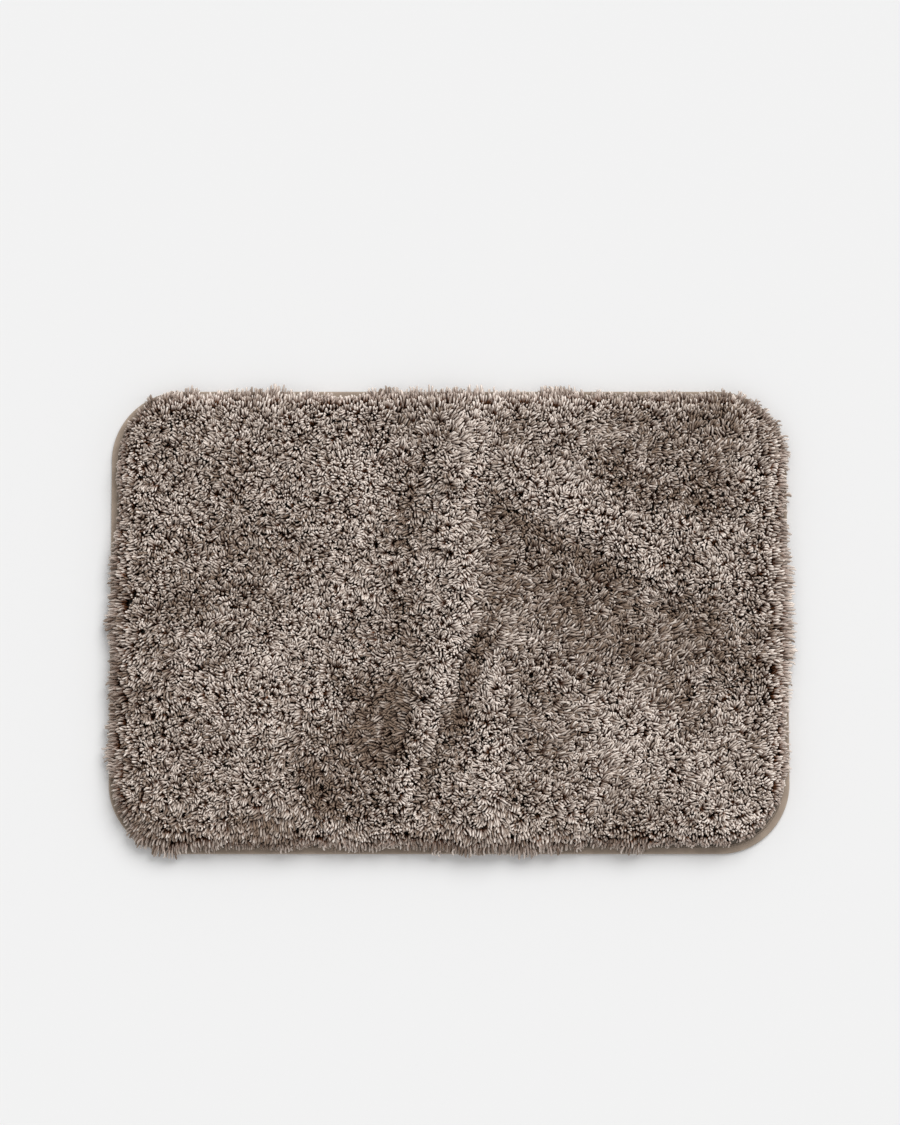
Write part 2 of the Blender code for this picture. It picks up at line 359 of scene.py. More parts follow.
def smooth_noise(x, y, size, rng):
    """Noise from about -1 to 1 that changes over about size metres."""
    margin = 2
    gain = 1.3
    across = int(2 * HALF_LENGTH / size) + 3 * margin
    along = int(2 * HALF_WIDTH / size) + 3 * margin
    lattice = rng.uniform(-1, 1, (across, along))
    place_x = (x + HALF_LENGTH) / size + margin
    place_y = (y + HALF_WIDTH) / size + margin
    column, row = np.floor(place_x).astype(int), np.floor(place_y).astype(int)
    share_x, share_y = place_x - column, place_y - row
    ease_x = share_x * share_x * (3 - 2 * share_x)
    ease_y = share_y * share_y * (3 - 2 * share_y)
    low = lattice[column, row] * (1 - ease_x) + lattice[column + 1, row] * ease_x
    high = lattice[column, row + 1] * (1 - ease_x) + lattice[column + 1, row + 1] * ease_x
    return gain * (low * (1 - ease_y) + high * ease_y)


def centred(count):
    """Whole steps out from the middle of a row of this many places."""
    return np.arange(count) - (count - 1) / 2


def tuft_roots(rng):
    """Where the tufts are needled in: staggered rows across the mat, a little uneven."""
    columns = int(2 * HALF_LENGTH / TUFT_PITCH)
    rows = int(2 * HALF_WIDTH / TUFT_PITCH)
    column, row = np.meshgrid(centred(columns), centred(rows), indexing="ij")
    stagger = 0.5 * (np.arange(columns) % 2)
    x = (column * TUFT_PITCH).ravel()
    y = ((row + stagger[:, None]) * TUFT_PITCH).ravel()
    x = x + rng.uniform(-1, 1, x.shape) * TUFT_JITTER * TUFT_PITCH
    y = y + rng.uniform(-1, 1, y.shape) * TUFT_JITTER * TUFT_PITCH
    inside, _, _ = edge_distance(x, y)
    kept = inside > ROOT_INSET
    # The rows nearest the edge are needled closer, so that the fringe stays full.
    closer = kept & (inside < ROOT_INSET + FILL_WIDTH)
    closer &= rng.uniform(0, 1, x.shape) < FRINGE_FILL
    turn = rng.uniform(0, FULL_TURN, x.shape)
    beside_x = x + TUFT_PITCH / 2 * np.cos(turn)
    beside_y = y + TUFT_PITCH / 2 * np.sin(turn)
    closer &= edge_distance(beside_x, beside_y)[0] > ROOT_INSET
    all_x = np.concatenate([x[kept], beside_x[closer]])
    all_y = np.concatenate([y[kept], beside_y[closer]])
    return all_x, all_y


def edge_rows(x, y, width):
    """1 for a tuft in the outermost row, fading to 0 past about this width further in."""
    inside, _, _ = edge_distance(x, y)
    return fading(inside - ROOT_INSET, width)


def downhill(x, y):
    """The slope of the creases' sides at each point, in X and in Y."""
    rise_x = crease_rise(x + SLOPE_STEP, y) - crease_rise(x - SLOPE_STEP, y)
    rise_y = crease_rise(x, y + SLOPE_STEP) - crease_rise(x, y - SLOPE_STEP)
    return rise_x / (2 * SLOPE_STEP), rise_y / (2 * SLOPE_STEP)


def tuft_leans(x, y, rng):
    """How far, in metres, each tuft's crown leans over in X and in Y."""
    turn = rng.uniform(0, FULL_TURN, x.shape)
    reach = rng.normal(CROWN_REACH, CROWN_REACH_SPREAD, x.shape)
    reach = np.clip(reach, LEAST_CROWN_REACH, None)
    lean_x = reach * np.cos(turn)
    lean_y = reach * np.sin(turn)
    for size, strength in LEAN_DRIFTS:
        lean_x += strength * smooth_noise(x, y, size, rng)
        lean_y += strength * smooth_noise(x, y, size, rng)
    for line, half_width, nap_x, nap_y in NAP:
        stroked = near_line(x, y, line, half_width)
        lean_x += stroked * nap_x
        lean_y += stroked * nap_y
    slope_x, slope_y = downhill(x, y)
    lean_x -= DOWNHILL_LEAN * slope_x
    lean_y -= DOWNHILL_LEAN * slope_y

    _, out_x, out_y = edge_distance(x, y)
    rim = edge_rows(x, y, FRINGE_WIDTH)
    size, strength = FRINGE_REACH_DRIFT
    splay = FRINGE_REACH + FAR_SIDE_REACH * out_y + strength * smooth_noise(x, y, size, rng)
    for line, half_width, extra in EDGE_STRETCHES:
        splay += extra * near_line(x, y, line, half_width)
    calm = 1 - RIM_CALM * rim
    return lean_x * calm + splay * rim * out_x, lean_y * calm + splay * rim * out_y


def painted_light_and_tone(x, y, rng):
    """How much paler or deeper the pile is painted at each point: painted light and shade
    along the listed lines, and a tone that drifts at random.
    """
    shade = np.zeros(x.shape)
    for line, half_width, change in PAINTED_LIGHT_AND_SHADE:
        shade += PAINTED_LIGHT_DEPTH * change * near_line(x, y, line, half_width)
    for size, strength in SHADE_DRIFTS:
        shade += strength * smooth_noise(x, y, size, rng)
    return shade


# ---- strands ----


def make_strands(x, y, rng):
    """Every strand's centre line, shade from 0 to 1, and how pale each ring is painted.

    Arrays here have one row for each tuft, then one column for each of its strands, then
    one entry for each ring from root to tip.
    """
    tufts = len(x)
    count = STRANDS_PER_TUFT
    lean_x, lean_y = tuft_leans(x, y, rng)
    rim = edge_rows(x, y, FRINGE_WIDTH)
    outermost = edge_rows(x, y, OUTER_ROWS)
    reach = np.hypot(lean_x, lean_y)
    ahead_x, ahead_y = lean_x / reach, lean_y / reach
    depth = PILE_DEPTH + crease_rise(x, y)
    depth = np.sqrt(depth**2 - (HEIGHT_LOST * np.minimum(reach, HEIGHT_LOST_REACH)) ** 2)
    depth = depth * rng.normal(1.0, DEPTH_SPREAD, tufts) * (1 - OUTER_SINK * outermost)
    # Each tuft's shade: the painted light and shade of the listed lines, random drifts of tone, and a
    # random tone of its own.
    tuft_light_and_tone = painted_light_and_tone(x, y, rng) + rng.normal(0.0, TUFT_SHADE_SPREAD, tufts)

    # Each strand's place in its tuft's fan, counted from the fan's middle.
    place = centred(count)
    from_middle = (np.abs(place) / np.abs(place).max()) ** 2
    tightness = rng.uniform(*TIGHTNESS, (tufts, 1))
    uneven_place = place[None, :] + rng.normal(0, PLACE_SPREAD, (tufts, count))
    across = STRAND_SPACING * tightness * uneven_place
    along = rng.normal(0, AHEAD_SPREAD, (tufts, count)) - LOBE_ROUNDING * from_middle
    fan = FAN_ANGLE * place[None, :] + rng.normal(0, FAN_SPREAD, (tufts, count))
    share = rng.normal(1.0, REACH_SPREAD, (tufts, count))
    length = rng.normal(1.0, LENGTH_SPREAD, (tufts, count))
    curl = rng.normal(0, STRAND_CURL, (tufts, count, 2)) + rng.normal(0, TUFT_CURL, (tufts, 1, 2))

    # From here, t runs from 0 at a strand's root to 1 at its tip.
    t = RING_PLACES[None, None, :]
    gather = ROOT_GATHER + (1 - ROOT_GATHER) * np.minimum(t / GATHERED_UP_TO, 1)
    back = BACK_LEAN * (1 - rim)[:, None, None] * np.minimum(t / BACK_LEAN_UP_TO, 1)
    bend = CROWN_BEND + (FRINGE_BEND - CROWN_BEND) * rim + (OUTER_BEND - FRINGE_BEND) * outermost
    swing = (t ** bend[:, None, None] - back) * share[:, :, None]
    cos_fan, sin_fan = np.cos(fan), np.sin(fan)
    step_x = (lean_x[:, None] * cos_fan - lean_y[:, None] * sin_fan)[:, :, None]
    step_y = (lean_x[:, None] * sin_fan + lean_y[:, None] * cos_fan)[:, :, None]
    side_x = (along * ahead_x[:, None] - across * ahead_y[:, None])[:, :, None]
    side_y = (along * ahead_y[:, None] + across * ahead_x[:, None])[:, :, None]
    wave = np.sin(FULL_TURN * t * CURL_WAVES)
    line_x = x[:, None, None] + side_x * gather + step_x * swing + curl[:, :, :1] * wave
    line_y = y[:, None, None] + side_y * gather + step_y * swing + curl[:, :, 1:] * wave

    hang = OUTER_HANG * outermost[:, None, None]
    droop = (DROOP + DROOP_PER_METRE * np.minimum(reach, DROOP_REACH))[:, None, None] + hang
    rise = t * (1 + droop) - (droop + hang) * t**CROWN_BEND
    line_z = ROOT_HEIGHT + (depth[:, None] * length)[:, :, None] * rise
    line_z = line_z - LOBE_DROP * from_middle[None, :, None] * t**2
    lines = np.stack([line_x, line_y, line_z], axis=-1).reshape(tufts * count, len(RING_PLACES), 3)

    shade = 0.5 + tuft_light_and_tone[:, None] + rng.normal(0, STRAND_SHADE_SPREAD, (tufts, count))
    shade = np.clip(shade - OUTER_SHADE * outermost[:, None], 0, 1).reshape(-1)
    outer = np.repeat(outermost, count)[:, None]
    # Painted shade deep in the pile: dark at the root, paler up to the tip, and less of it down the
    # outermost rows.
    deep = (1 - RING_PLACES[None, :]) * (1 - OUTER_PALE * outer)
    painted_paleness = 1 - deep - OUTER_DULL * outer
    return lines, shade, painted_paleness


def tube_points(lines, radii):
    """Rings of points round each line. The first point of a ring is on the upper side."""
    ahead = np.gradient(lines, axis=1)
    ahead /= np.linalg.norm(ahead, axis=2, keepdims=True)
    up = np.array((0.0, 0.0, 1.0))
    above = up - (ahead @ up)[..., None] * ahead
    above /= np.maximum(np.linalg.norm(above, axis=2, keepdims=True), TINY)
    beside = np.cross(ahead, above)
    turns = FULL_TURN * np.arange(TUBE_SIDES) / TUBE_SIDES
    ring = (np.cos(turns)[:, None] * above[:, :, None, :]
            + np.sin(turns)[:, None] * beside[:, :, None, :])
    return lines[:, :, None, :] + radii[:, :, None, None] * ring


def tube_walls(count, rings, sides):
    """The numbers of the points in tubes, and the corners of the tubes' side faces."""
    index = np.arange(count * rings * sides).reshape(count, rings, sides)
    following = np.roll(index, -1, axis=2)
    walls = np.stack([index[:, :-1], following[:, :-1], following[:, 1:], index[:, 1:]], axis=-1)
    return index, walls


def closed_tubes(lines, radii):
    """Points and faces of closed tubes: all their walls, then the two caps of each."""
    count, rings, _ = lines.shape
    points = tube_points(lines, radii)
    index, walls = tube_walls(count, rings, TUBE_SIDES)
    caps = np.stack([index[:, 0, ::-1], index[:, -1, :]], axis=1)
    corners = np.concatenate([walls.reshape(-1, 4), caps.reshape(-1, 4)])
    return points.reshape(-1, 3), corners


def strand_mesh(name, lines, shade, painted_paleness, rng):
    """One mesh of closed tubes on these lines, mapped by shade across and painted shade up."""
    strands, rings, _ = lines.shape
    uneven = rng.normal(1, STRAND_RADIUS_SPREAD, strands)[:, None]
    radii = STRAND_RADIUS * RING_WIDTHS[None, :] * uneven
    points, corners = closed_tubes(lines, radii)

    strip = np.minimum((shade * SHADES).astype(int), SHADES - 1)
    round_share = np.arange(TUBE_SIDES + 1) / TUBE_SIDES
    edge_u = (strip[:, None] + STRIP_MARGIN + STRIP_WIDTH * round_share) / SHADES
    wall_uv = np.empty((strands, rings - 1, TUBE_SIDES, 4, 2))
    wall_uv[..., (0, 3), 0] = edge_u[:, None, :-1, None]
    wall_uv[..., (1, 2), 0] = edge_u[:, None, 1:, None]
    wall_uv[..., (0, 1), 1] = painted_paleness[:, :-1, None, None]
    wall_uv[..., (2, 3), 1] = painted_paleness[:, 1:, None, None]
    # The cut ends take the colour of a thin strip at each end of the map.
    cap_uv = np.empty((strands, 2, 1, 4, 2))
    cap_uv[..., (0, 3), 0] = edge_u[:, 0, None, None, None]
    cap_uv[..., (1, 2), 0] = edge_u[:, 0, None, None, None] + CUT_END_WIDTH / SHADES
    cap_uv[:, 0, :, :2, 1] = 0
    cap_uv[:, 0, :, 2:, 1] = CUT_END_HEIGHT
    cap_uv[:, 1, :, :2, 1] = 1 - CUT_END_HEIGHT
    cap_uv[:, 1, :, 2:, 1] = 1
    uv = np.concatenate([wall_uv.reshape(-1, 2), cap_uv.reshape(-1, 2)])
    return quad_mesh(name, points, corners, OFBake=uv)


def quad_mesh(name, points, corners, **maps):
    """A mesh from its points, its four-cornered faces and any named maps."""
    mesh = bpy.data.meshes.new(name)
    mesh.vertices.add(len(points))
    mesh.vertices.foreach_set("co", points.astype(np.float32).ravel())
    mesh.loops.add(corners.size)
    mesh.loops.foreach_set("vertex_index", corners.astype(np.int32).ravel())
    mesh.polygons.add(len(corners))
    mesh.polygons.foreach_set("loop_start", np.arange(0, corners.size, 4, dtype=np.int32))
    mesh.update(calc_edges=True)
    for map_name, uv in maps.items():
        layer = mesh.uv_layers.new(name=map_name)
        layer.uv.foreach_set("vector", uv.astype(np.float32).ravel())
    mesh.shade_smooth()
    return mesh


def add_piece(name, mesh, material, node):
    """A visible piece that rides on the mat's body and stands for one CAD node."""
    mesh.materials.append(material)
    piece = bpy.data.objects.new(name, mesh)
    bpy.context.scene.collection.objects.link(piece)
    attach(piece, "root")
    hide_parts(node)
    return piece


def add_pile(material):
    """One piece of real tufts for each of the CAD's bands."""
    rng = np.random.default_rng(SEED)
    x, y = tuft_roots(rng)
    lines, shade, painted_paleness = make_strands(x, y, rng)
    pitch = 2 * HALF_LENGTH / len(BANDS)
    band = np.clip(((x + HALF_LENGTH) / pitch).astype(int), 0, len(BANDS) - 1)
    band = np.repeat(band, STRANDS_PER_TUFT)
    for number, node in enumerate(BANDS):
        mine = band == number
        name = f"pile_tufts_{number + 1:02d}"
        mesh = strand_mesh(name, lines[mine], shade[mine], painted_paleness[mine], rng)
        add_piece(name, mesh, material, node)


# ---- the binding, its stitches, the cloth and the rubber ----


def outline_path(inset):
    """The mat's outline this far inside it, and the distance travelled at each point.

    It starts on the right side, runs anticlockwise and comes back to its start.
    """
    radius = CORNER_RADIUS - inset
    centre_x = HALF_LENGTH - CORNER_RADIUS
    centre_y = HALF_WIDTH - CORNER_RADIUS
    x, y = [], []
    for corner, (side_x, side_y) in enumerate(((1, 1), (-1, 1), (-1, -1), (1, -1))):
        turn = (corner + np.linspace(0, 1, CORNER_POINTS)) * math.pi / 2
        x.extend(side_x * centre_x + radius * np.cos(turn))
        y.extend(side_y * centre_y + radius * np.sin(turn))
    x, y = np.array(x + x[:1]), np.array(y + y[:1])
    travelled = np.concatenate(([0], np.cumsum(np.hypot(np.diff(x), np.diff(y)))))
    return x, y, travelled


def outline_length():
    """How long it is once round the mat's outline."""
    _, _, travelled = outline_path(0)
    return travelled[-1]


def outline(inset, count):
    """Evenly spaced points round the mat, this far inside it, and the outward directions."""
    x, y, travelled = outline_path(inset)
    places = np.linspace(0, travelled[-1], count, endpoint=False)
    x, y = np.interp(places, travelled, x), np.interp(places, travelled, y)
    run_x = np.roll(x, -1) - np.roll(x, 1)
    run_y = np.roll(y, -1) - np.roll(y, 1)
    size = np.hypot(run_x, run_y)
    return x, y, run_y / size, -run_x / size


def tape_profile():
    """The folded tape's section: distance in from the edge, height, and outward direction.

    It runs out along the upper leg, round the fold at the mat's edge, in along the lower
    leg, and back inside the fold, where the yarns don't stand out.
    """
    middle = (TAPE_LOW[2] + TAPE_HIGH[2]) / 2
    outer = (TAPE_HIGH[2] - TAPE_LOW[2]) / 2
    inner = outer - TAPE_THICKNESS
    legs = np.linspace(TAPE_LEG, outer, LEG_POINTS, endpoint=False)
    fold = np.linspace(math.pi / 2, -math.pi / 2, FOLD_POINTS)
    section = [(leg, TAPE_HIGH[2], 0, 1) for leg in legs]
    for angle in fold:
        out, up = math.cos(angle), math.sin(angle)
        section.append((outer - outer * out, middle + outer * up, -out, up))
    section += [(leg, TAPE_LOW[2], 0, -1) for leg in legs[::-1]]
    section.append((TAPE_LEG, middle - inner, 0, 0))
    for angle in fold[::-3]:
        section.append((outer - inner * math.cos(angle), middle + inner * math.sin(angle), 0, 0))
    section.append((TAPE_LEG, middle + inner, 0, 0))
    return np.array(section)


def strip_map(stations, around, start_u, end_u, edges_v):
    """A map of a swept strip: u from station to station, v round its section."""
    uv = np.empty((stations, around, 4, 2))
    uv[..., (0, 3), 0] = start_u[..., None]
    uv[..., (1, 2), 0] = end_u[..., None]
    uv[..., (0, 1), 1] = edges_v[:, :-1, None]
    uv[..., (2, 3), 1] = edges_v[:, 1:, None]
    return uv.reshape(-1, 2)


def add_tape(material):
    """The binding: one woven tape folded round the edge, its yarns raised in a small check.

    Returns the piece and the tape's length.
    """
    section = tape_profile()
    around = len(section)
    length = outline_length()
    stations = TAPE_MAP_ROWS * int(length / TAPE_RIB / TAPE_MAP_ROWS)
    x, y, out_x, out_y = outline(0, stations)
    inset, height, relief_in, relief_up = section.T
    check = np.where((np.arange(stations)[:, None] + np.arange(around)[None, :]) % 2, 1, -1)
    inset = inset[None, :] + TAPE_RELIEF * check * relief_in[None, :]
    height = height[None, :] + TAPE_RELIEF * check * relief_up[None, :]
    tape_x = x[:, None] - out_x[:, None] * inset
    tape_y = y[:, None] - out_y[:, None] * inset
    points = np.stack([tape_x, tape_y, height], axis=-1)
    index = np.arange(stations * around).reshape(stations, around)
    following = np.roll(index, -1, axis=0)
    corners = np.stack([index, following, np.roll(following, -1, axis=1),
                        np.roll(index, -1, axis=1)], axis=-1)

    girth = np.hypot(*(np.roll(section[:, :2], -1, axis=0) - section[:, :2]).T)
    reached = np.concatenate(([0], np.cumsum(girth)))[None, :]
    station = np.arange(stations)[:, None]
    row_length = stations // TAPE_MAP_ROWS
    start_u = (station % row_length) / row_length
    edges_v = station // row_length + TAPE_MAP_MARGIN + TAPE_MAP_HEIGHT * reached / reached[0, -1]
    bake = strip_map(stations, around, start_u, start_u + TAPE_MAP_WIDTH / row_length,
                     edges_v / TAPE_MAP_ROWS)
    weave = strip_map(stations, around, station * length / stations,
                      (station + 1) * length / stations, reached)
    mesh = quad_mesh("tape", points.reshape(-1, 3), corners.reshape(-1, 4),
                     OFBake=bake, weave=weave)
    return add_piece("tape", mesh, material, "binding_tape"), length


def slab_mesh(low, high, cell, relief):
    """Points and faces of a closed slab with rounded corners.

    relief(x, y, side) is how far the upper face, side 1, or the lower, side -1, is raised.
    """
    half_x, half_y = high[0], high[1]
    radius = CORNER_RADIUS - (HALF_LENGTH - half_x)
    columns = int(2 * half_x / cell) + 1
    rows = int(2 * half_y / cell) + 1
    even = np.linspace(-half_y, half_y, rows)
    closing = -half_y * np.cos(math.pi * np.arange(rows) / (rows - 1))
    closing = np.where(np.abs(even) > half_y - radius, closing, even)
    y = np.sort(even * (1 - ROW_CLOSING) + closing * ROW_CLOSING)
    past = np.maximum(np.abs(y) - (half_y - radius), 0)
    reach = half_x - radius + np.sqrt(np.maximum(radius**2 - past**2, 0))
    grid_x = reach[:, None] * np.linspace(-1, 1, columns)[None, :]
    grid_y = np.repeat(y[:, None], columns, axis=1)
    top = np.stack([grid_x, grid_y, high[2] + relief(grid_x, grid_y, 1)], axis=-1)
    bottom = np.stack([grid_x, grid_y, low[2] + relief(grid_x, grid_y, -1)], axis=-1)
    points = np.concatenate([top.reshape(-1, 3), bottom.reshape(-1, 3)])

    index = np.arange(rows * columns).reshape(rows, columns)
    upper = np.stack([index[:-1, :-1], index[:-1, 1:], index[1:, 1:], index[1:, :-1]], axis=-1)
    lower = upper[..., ::-1] + rows * columns
    rim = np.concatenate([index[0, :-1], index[:-1, -1], index[-1, :0:-1], index[:0:-1, 0]])
    next_rim = np.roll(rim, -1)
    walls = np.stack([rim, rim + rows * columns, next_rim + rows * columns, next_rim], axis=-1)
    return points, np.concatenate([upper.reshape(-1, 4), lower.reshape(-1, 4), walls])


def add_cloth(material):
    """The woven cloth that carries the tufts."""
    def relief(x, y, side):
        check = (np.round(x / CLOTH_CELL) + np.round(y / CLOTH_CELL)) % 2
        return -CLOTH_RELIEF * side * check

    mesh = quad_mesh("cloth", *slab_mesh(CLOTH_LOW, CLOTH_HIGH, CLOTH_CELL, relief))
    return add_piece("cloth", mesh, material, "backing_cloth")


def add_rubber(material):
    """The rubber coat: a thin slab with grip dots under it."""
    def relief(x, y, side):
        return np.full(x.shape, DOT_HEIGHT if side < 0 else 0.0)

    points, corners = slab_mesh(RUBBER_LOW, RUBBER_HIGH, RUBBER_CELL, relief)
    columns = int(2 * (RUBBER_HIGH[0] - DOT_GRID_INSET) / DOT_PITCH) + 1
    rows = int(2 * (RUBBER_HIGH[1] - DOT_GRID_INSET) / DOT_PITCH) + 1
    column, row = np.meshgrid(centred(columns), centred(rows), indexing="ij")
    x, y = (column * DOT_PITCH).ravel(), (row * DOT_PITCH).ravel()
    inside, _, _ = edge_distance(x, y)
    kept = inside > HALF_LENGTH - RUBBER_HIGH[0] + DOT_TO_EDGE
    centres = np.stack([x[kept], y[kept], np.zeros(kept.sum())], axis=-1)
    rings = []
    for wide, tall in DOT_LEVELS:
        height = RUBBER_LOW[2] + DOT_HEIGHT * tall
        turns = FULL_TURN * np.arange(DOT_SIDES) / DOT_SIDES
        ring_x, ring_y = DOT_RADIUS * wide * np.cos(turns), DOT_RADIUS * wide * np.sin(turns)
        rings.append(np.stack([ring_x, ring_y, np.full(DOT_SIDES, height)], axis=-1))
    dots = np.array(rings)[None] + centres[:, None, None, :]
    index, walls = tube_walls(len(centres), len(DOT_LEVELS), DOT_SIDES)
    faces = [walls[..., ::-1].reshape(-1, 4)]
    # Three four-cornered faces close each eight-sided end.
    for third in ((0, 1, 2, 3), (0, 3, 4, 7), (4, 5, 6, 7)):
        faces += [index[:, 0, third], index[:, -1, third[::-1]]]
    corners = np.concatenate([corners, np.concatenate(faces) + len(points)])
    points = np.concatenate([points, dots.reshape(-1, 3)])
    mesh = quad_mesh("rubber", points, corners)
    return add_piece("rubber", mesh, material, "rubber_backing")


def add_stitches(name, low, high, side, material, node):
    """One row of lock stitches, each a short thread that dips into the tape at both ends.

    side is 1 for the row on the tape's upper leg and -1 for the one under its lower leg.
    """
    inset = HALF_LENGTH - high[0] + THREAD_RADIUS
    count = int(outline_length() / STITCH_LENGTH)
    steps = count * STITCH_STEPS
    x, y, _, _ = outline(inset, steps)
    covered = STITCH_PLACES * (1 - STITCH_GAP / STITCH_LENGTH) * STITCH_STEPS
    at = np.arange(count)[:, None] * STITCH_STEPS + np.round(covered)[None, :].astype(int)
    at = at % steps
    surface = (low[2] if side > 0 else high[2]) - side * STITCH_DIP
    lift = STITCH_LIFT * np.sin(math.pi * STITCH_PLACES) ** STITCH_ROUNDING
    height = np.repeat((surface + side * lift)[None, :], count, axis=0)
    lines = np.stack([x[at], y[at], height], axis=-1)
    radii = np.repeat(THREAD_RADIUS * STITCH_WIDTHS[None, :], count, axis=0)
    mesh = quad_mesh(name, *closed_tubes(lines, radii))
    return add_piece(name, mesh, material, node)


# ---- materials ----

# The yarn's two plies, and how often they turn round each other along a strand.
YARN_PLIES = 2
YARN_TURNS = 8


def new_material(name, roughness):
    """A material of this roughness, with its node tree and its shader."""
    material = bpy.data.materials.new(name)
    material.use_nodes = True
    shader = material.node_tree.nodes["Principled BSDF"]
    shader.inputs["Roughness"].default_value = roughness
    return material, material.node_tree, shader


def on_map(tree, name):
    """Where a point lies across and along one of the mesh's named maps."""
    place = tree.nodes.new("ShaderNodeUVMap")
    place.uv_map = name
    split = tree.nodes.new("ShaderNodeSeparateXYZ")
    tree.links.new(place.outputs["UV"], split.inputs[0])
    return split.outputs["X"], split.outputs["Y"]


def in_object(tree):
    """Where a point lies in the object's own space."""
    return tree.nodes.new("ShaderNodeTexCoord").outputs["Object"]


def maths(tree, operation, *values):
    """A maths node. Each value is a number or another node's output."""
    node = tree.nodes.new("ShaderNodeMath")
    node.operation = operation
    for socket, value in zip(node.inputs, values):
        if isinstance(value, (int, float)):
            socket.default_value = value
        else:
            tree.links.new(value, socket)
    return node.outputs[0]


def zero_to_one(tree, wave):
    """A wave that runs from -1 to 1, brought to run from 0 to 1."""
    return maths(tree, "MULTIPLY_ADD", wave, 0.5, 0.5)


def crossing_yarns(tree, across, along, period):
    """The over and under of warp and weft, from 0 to 1."""
    warp = maths(tree, "SINE", maths(tree, "MULTIPLY", across, FULL_TURN / period))
    weft = maths(tree, "SINE", maths(tree, "MULTIPLY", along, FULL_TURN / period))
    return zero_to_one(tree, maths(tree, "MULTIPLY", warp, weft))


def noise(tree, scale, detail):
    """Smooth noise from 0 to 1 over the object's own space."""
    node = tree.nodes.new("ShaderNodeTexNoise")
    node.inputs["Scale"].default_value = scale
    node.inputs["Detail"].default_value = detail
    tree.links.new(in_object(tree), node.inputs["Vector"])
    return node.outputs["Fac"]


def ramp(tree, value, low, high):
    """A colour ramp between two (place, colour) stops."""
    node = tree.nodes.new("ShaderNodeValToRGB")
    for element, (place, colour) in zip(node.color_ramp.elements, (low, high)):
        element.position = place
        element.color = (*colour, 1)
    tree.links.new(value, node.inputs[0])
    return node.outputs[0]


def scaled(tree, colour, amount):
    """A colour times another colour."""
    node = tree.nodes.new("ShaderNodeVectorMath")
    node.operation = "MULTIPLY"
    tree.links.new(colour, node.inputs[0])
    tree.links.new(amount, node.inputs[1])
    return node.outputs[0]


def pile_material():
    """Twisted yarn: painted deep at the root, pale at the cut tip, each strand its own shade,
    with painted light on each strand's top and painted shade under it.
    """
    material, tree, shader = new_material("pile_yarn", roughness=0.80)
    across, along = on_map(tree, "OFBake")
    strip = maths(tree, "MULTIPLY", across, SHADES)
    shade = maths(tree, "DIVIDE", maths(tree, "FLOOR", strip), SHADES)
    in_strip = maths(tree, "SUBTRACT", maths(tree, "FRACT", strip), STRIP_MARGIN)
    angle = maths(tree, "MULTIPLY", in_strip, FULL_TURN / STRIP_WIDTH)
    upper_side = zero_to_one(tree, maths(tree, "COSINE", angle))
    round_strand = maths(tree, "MULTIPLY", angle, YARN_PLIES)
    up_strand = maths(tree, "MULTIPLY", along, FULL_TURN * YARN_TURNS)
    twist = zero_to_one(tree, maths(tree, "SINE", maths(tree, "ADD", round_strand, up_strand)))

    # Painted shade deep in the pile: each strand is dark at its root and pale only near its cut tip.
    body = ramp(tree, along, (0.73, (0.105, 0.035, 0.008)), (0.945, (0.698, 0.634, 0.579)))
    # Each strand's shade mixes its own tone with the painted light and shade of the listed lines.
    tone = ramp(tree, shade, (0.0, (0.375, 0.295, 0.235)), (1.0, (1.40, 1.395, 1.395)))
    # Painted light on each strand's upper side, painted shade along its sides and under it.
    painted_side_light = ramp(tree, upper_side, (0.20, (0.245, 0.098, 0.034)), (0.80, (1.12, 1.118, 1.112)))
    ply = ramp(tree, twist, (0.0, (0.86, 0.86, 0.86)), (1.0, (1.08, 1.08, 1.08)))
    colour = scaled(tree, scaled(tree, scaled(tree, body, tone), painted_side_light), ply)
    tree.links.new(colour, shader.inputs["Base Color"])
    return material


def tape_material():
    """Woven tape: fine crossing yarns in a light taupe, a little unevenly worn."""
    material, tree, shader = new_material("binding_weave", roughness=0.85)
    shader.inputs["Sheen Weight"].default_value = 0.15
    across, along = on_map(tree, "weave")
    yarn = crossing_yarns(tree, across, along, 2 * TAPE_RIB)
    body = ramp(tree, yarn, (0.0, (0.315, 0.240, 0.182)), (1.0, (0.465, 0.382, 0.308)))
    worn = noise(tree, scale=60, detail=4)
    wear = ramp(tree, worn, (0.30, (0.86, 0.85, 0.84)), (0.70, (1.12, 1.12, 1.12)))
    tree.links.new(scaled(tree, body, wear), shader.inputs["Base Color"])
    return material


def cloth_material():
    """Plain woven backing cloth: warp and weft threads over the whole sheet."""
    material, tree, shader = new_material("backing_weave", roughness=0.9)
    split = tree.nodes.new("ShaderNodeSeparateXYZ")
    tree.links.new(in_object(tree), split.inputs[0])
    yarn = crossing_yarns(tree, split.outputs["X"], split.outputs["Y"], CLOTH_CELL)
    body = ramp(tree, yarn, (0.0, (0.24, 0.20, 0.16)), (1.0, (0.42, 0.36, 0.30)))
    patches = noise(tree, scale=25, detail=3)
    blotch = ramp(tree, patches, (0.30, (0.88, 0.88, 0.88)), (0.70, (1.10, 1.10, 1.10)))
    tree.links.new(scaled(tree, body, blotch), shader.inputs["Base Color"])
    return material


def rubber_material():
    """Matt latex: slightly mottled, with a fine grain."""
    material, tree, shader = new_material("latex_coat", roughness=0.62)
    patches = noise(tree, scale=18, detail=5)
    grains = noise(tree, scale=420, detail=2)
    body = ramp(tree, patches, (0.25, (0.36, 0.325, 0.29)), (0.75, (0.48, 0.44, 0.395)))
    speck = ramp(tree, grains, (0.35, (0.90, 0.90, 0.90)), (0.60, (1.05, 1.05, 1.05)))
    tree.links.new(scaled(tree, body, speck), shader.inputs["Base Color"])
    return material


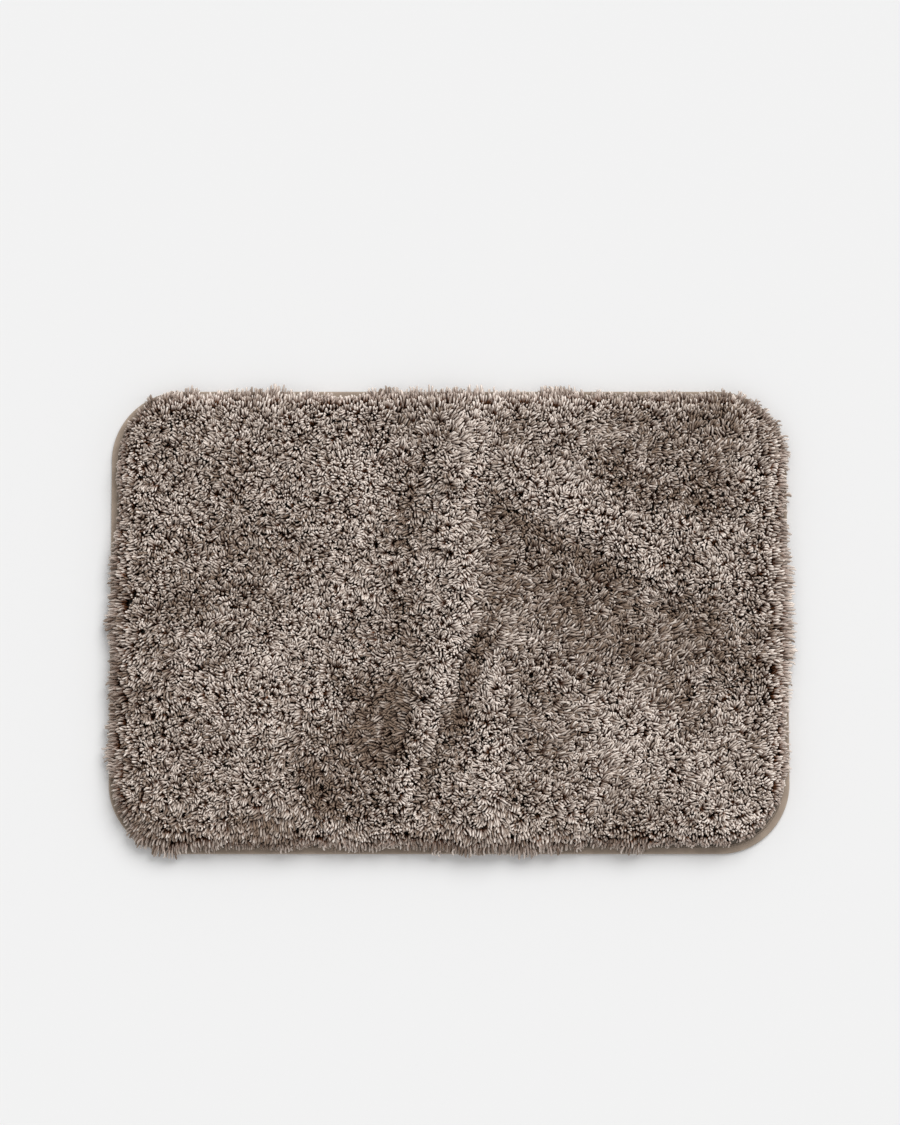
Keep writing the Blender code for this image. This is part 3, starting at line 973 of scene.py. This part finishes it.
def thread_material():
    """Polyester sewing thread, slightly shiny, its tone as uneven as its plies."""
    material, tree, shader = new_material("sewing_thread", roughness=0.5)
    plies = noise(tree, scale=900, detail=1)
    body = ramp(tree, plies, (0.35, (0.20, 0.16, 0.125)), (0.65, (0.36, 0.30, 0.25)))
    tree.links.new(body, shader.inputs["Base Color"])
    return material


def floor_material():
    """A plain pale floor."""
    material, _, shader = new_material("pale_floor", roughness=0.9)
    shader.inputs["Base Color"].default_value = (0.88, 0.88, 0.88, 1)
    return material


# ---- floor, light and camera ----

FLOOR_SIZE = 12
FLOOR_DROP = 0.0005
WORLD_STRENGTH = 0.59
KEY_STRENGTH = 1.83
KEY_SPREAD = math.radians(40)
KEY_TURN = (math.radians(-38), math.radians(24), 0)
CAMERA_DISTANCE = 4.0
CAMERA_TILT = math.radians(6)
CAMERA_AIM = np.array((0.001, 0.066, 0.0))
SENSOR_SIZE = 36
# What the frame's longer side takes in at the point that the camera aims at.
FRAME_HEIGHT = 1.2515
CAMERA_SIGHT = 50


def add_stage():
    """A pale floor, an even white surround and one soft key light from the far right."""
    bpy.ops.mesh.primitive_plane_add(size=FLOOR_SIZE, location=(0, 0, -FLOOR_DROP))
    floor = bpy.context.object
    floor.name = "floor"
    floor.data.materials.append(floor_material())

    world = bpy.data.worlds.new("studio")
    bpy.context.scene.world = world
    world.use_nodes = True
    background = world.node_tree.nodes["Background"]
    background.inputs["Color"].default_value = (1.0, 1.0, 1.0, 1)
    background.inputs["Strength"].default_value = WORLD_STRENGTH

    key = bpy.data.lights.new("key", "SUN")
    key.energy = KEY_STRENGTH
    key.angle = KEY_SPREAD
    lamp = bpy.data.objects.new("key", key)
    lamp.rotation_euler = KEY_TURN
    bpy.context.scene.collection.objects.link(lamp)


def add_camera():
    """Almost straight above, tipped a little towards the near long side."""
    camera = bpy.data.cameras.new("camera")
    camera.sensor_width = SENSOR_SIZE
    camera.lens = SENSOR_SIZE * CAMERA_DISTANCE / FRAME_HEIGHT
    camera.clip_end = CAMERA_SIGHT
    camera_object = bpy.data.objects.new("camera", camera)
    from_aim = np.array((0, -math.sin(CAMERA_TILT), math.cos(CAMERA_TILT)))
    camera_object.location = CAMERA_AIM + CAMERA_DISTANCE * from_aim
    camera_object.rotation_euler = (CAMERA_TILT, 0, 0)
    bpy.context.scene.collection.objects.link(camera_object)
    bpy.context.scene.camera = camera_object
    bpy.context.scene.view_settings.view_transform = "Standard"


# ---- the whole mat ----

add_camera()
add_stage()
add_pile(pile_material())
rubber = add_rubber(rubber_material())
cloth = add_cloth(cloth_material())
tape, tape_length = add_tape(tape_material())
thread = thread_material()
needle = add_stitches("needle_stitches", NEEDLE_LOW, NEEDLE_HIGH, 1, thread, "binding_needle_thread")
bobbin = add_stitches("bobbin_stitches", BOBBIN_LOW, BOBBIN_HIGH, -1, thread, "binding_bobbin_thread")
